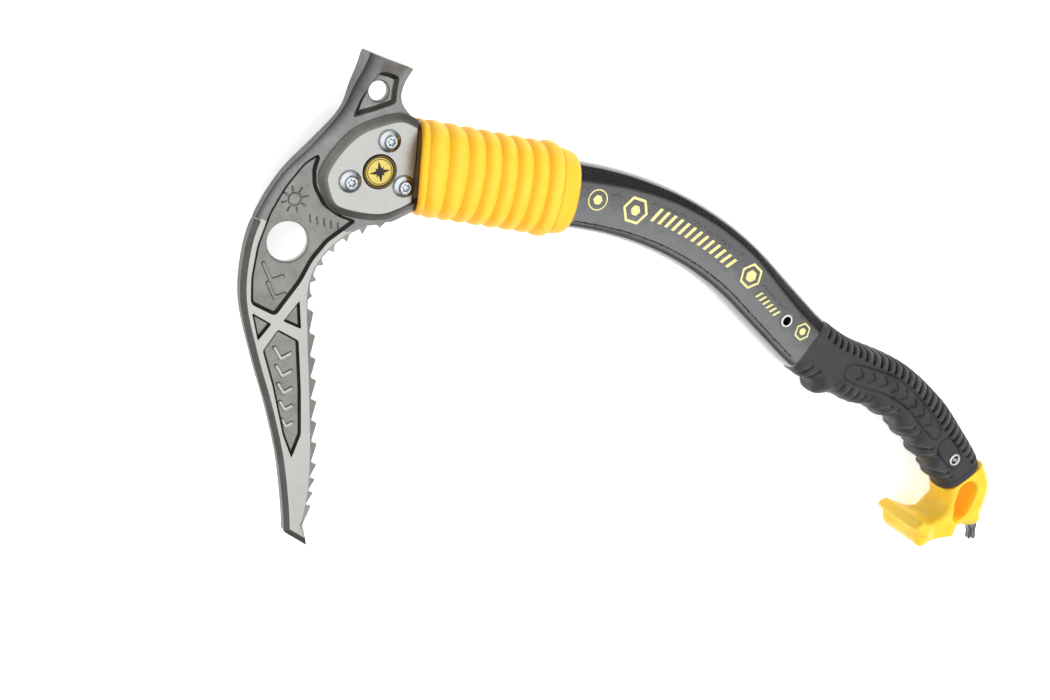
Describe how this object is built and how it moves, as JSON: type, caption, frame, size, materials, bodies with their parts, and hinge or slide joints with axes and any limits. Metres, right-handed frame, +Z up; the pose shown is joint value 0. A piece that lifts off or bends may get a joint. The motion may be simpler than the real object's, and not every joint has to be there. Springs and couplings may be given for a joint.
{
  "type": "technical ice axe",
  "caption": "Short ice axe with a bent carbon shaft, a bolted toothed pick with a hammer, a ribbed upper sleeve, a moulded rubber grip and a horned pommel with a small steel spike.",
  "frame": {"origin": "centre of the axe's outline at the surface it lies on", "axes": "the axe lies on its side: +X from the head along the upper shaft towards the pommel, +Y towards the hammer and away from the pick's tip, +Z up through the thickness of the tool"},
  "size_m": [0.4898, 0.2384, 0.038],
  "materials": {
    "forged_steel": "forged grey with ground flats",
    "cheek_steel": "brushed",
    "zinc": "bright zinc",
    "badge_metal": "gold and black enamel",
    "resin": "clear dome",
    "aluminium": "machined",
    "carbon": "glossy carbon weave",
    "yellow_rubber": "matte",
    "black_rubber": "matte",
    "yellow_plastic": "satin",
    "bright_eyelet": "polished",
    "spike_steel": "hardened"
  },
  "bodies": {
    "root": {"pick": "forged_steel", "cheek_front": "cheek_steel", "cheek_rear": "cheek_steel", "pick_bolts": "zinc", "pick_nuts": "zinc", "badge_front": "badge_metal", "badge_rear": "badge_metal", "badge_lens_front": "resin", "badge_lens_rear": "resin", "head_block": "aluminium", "head_pins": "zinc", "shaft_tube": "carbon", "upper_grip": "yellow_rubber", "upper_grip_collar": "yellow_rubber", "upper_eyelet": "bright_eyelet", "upper_eyelet_washer": "bright_eyelet", "lower_grip": "black_rubber", "lower_eyelet": "bright_eyelet", "lower_eyelet_washer": "bright_eyelet", "pommel": "yellow_plastic", "spike": "spike_steel", "spike_pin": "zinc"}
  },
  "joints": []
}
